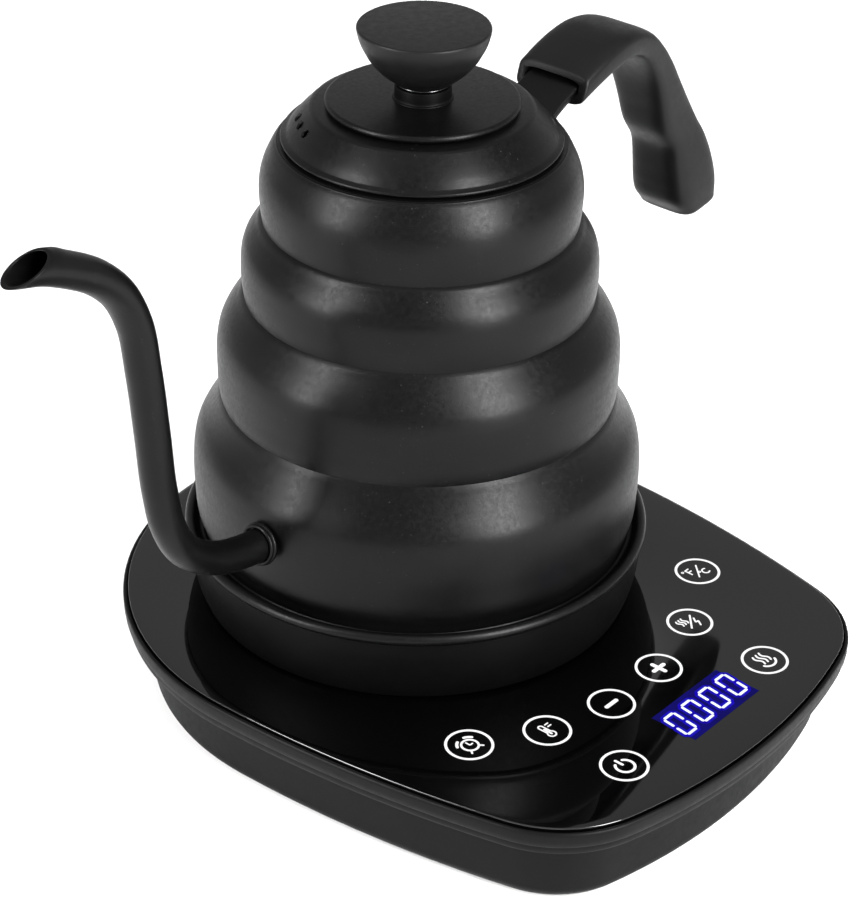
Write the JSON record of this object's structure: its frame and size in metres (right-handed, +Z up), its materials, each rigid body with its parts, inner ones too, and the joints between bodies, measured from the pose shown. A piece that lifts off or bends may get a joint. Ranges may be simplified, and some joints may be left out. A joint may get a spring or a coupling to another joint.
{
  "type": "electric kettle",
  "caption": "Gooseneck electric kettle with a stepped, swelling body and lift-off knobbed lid, turning and lifting on a touch-control power base with a lit display.",
  "frame": {"origin": "under the middle of the object's box, on the surface the base stands on", "axes": "+X from the kettle's axis towards the handle, -X towards the spout, -Y towards the control panel's front edge, +Z up"},
  "size_m": [0.3073, 0.2291, 0.2218],
  "materials": {
    "powder_coat": "matte black powder coat with a fine grain",
    "housing_plastic": "satin black moulded plastic",
    "grip_plastic": "soft matte black plastic",
    "black_glass": "gloss black back-painted glass",
    "stainless": "satin stainless steel",
    "aluminium": "cast aluminium",
    "brass": "plated brass contact",
    "rubber": "black rubber",
    "silicone": "grey silicone rubber",
    "circuit_board": "green solder mask",
    "component": "moulded component case",
    "display": "blue lit display window"
  },
  "bodies": {
    "base": {"base_lower_housing": "housing_plastic", "base_upper_trim": "housing_plastic", "glass_panel": "black_glass", "control_board": "circuit_board", "power_board": "circuit_board", "transformer": "component", "relay": "component", "capacitor": "component", "terminal_block": "component", "buzzer": "component", "display_module": "display", "base_connector": "housing_plastic", "connector_gasket": "silicone", "cord_gland": "rubber", "touch_pad_timer": "rubber", "touch_pad_temperature": "rubber", "touch_pad_minus": "rubber", "touch_pad_plus": "rubber", "touch_pad_boil": "rubber", "touch_pad_unit": "rubber", "touch_pad_power": "rubber", "touch_pad_keep_warm": "rubber", "foot_rear_left": "rubber", "foot_rear_right": "rubber", "foot_front_left": "rubber", "foot_front_right": "rubber", "housing_screw_rear_left": "stainless", "housing_screw_rear_right": "stainless", "housing_screw_front_left": "stainless", "housing_screw_front_right": "stainless"},
    "contact_pin": {"centre_pin": "brass"},
    "kettle": {"body_shell": "powder_coat", "foot_ring": "powder_coat", "bottom_housing": "housing_plastic", "bottom_cover": "housing_plastic", "cover_screw_1": "stainless", "cover_screw_2": "stainless", "cover_screw_3": "stainless", "heating_plate": "stainless", "heat_spreader": "aluminium", "heating_element": "stainless", "temperature_probe": "stainless", "probe_seal": "silicone", "kettle_connector": "housing_plastic", "contact_ring": "brass", "thermal_cutout": "component", "spout_tube": "powder_coat", "spout_collar": "powder_coat", "handle_strap": "powder_coat", "handle_grip": "grip_plastic", "grip_screw_front": "stainless", "grip_screw_rear": "stainless"},
    "lid": {"lid_shell": "powder_coat", "lid_plug": "stainless", "lid_disc": "powder_coat", "knob_stem": "grip_plastic", "knob_washer": "stainless", "lid_knob": "grip_plastic", "knob_screw": "stainless"}
  },
  "joints": [
    {"name": "kettle_swivel", "type": "hinge", "parent": "base", "child": "contact_pin", "pos_m": [0.0105, 0.0214, 0.0336], "axis": [0, 0, 1], "continuous": true},
    {"name": "kettle_lift", "type": "slide", "parent": "contact_pin", "child": "kettle", "axis": [0, 0, 1], "range_m": [0, 0.12]},
    {"name": "lid_lift", "type": "slide", "parent": "kettle", "child": "lid", "axis": [0, 0, 1], "range_m": [0, 0.06]}
  ]
}
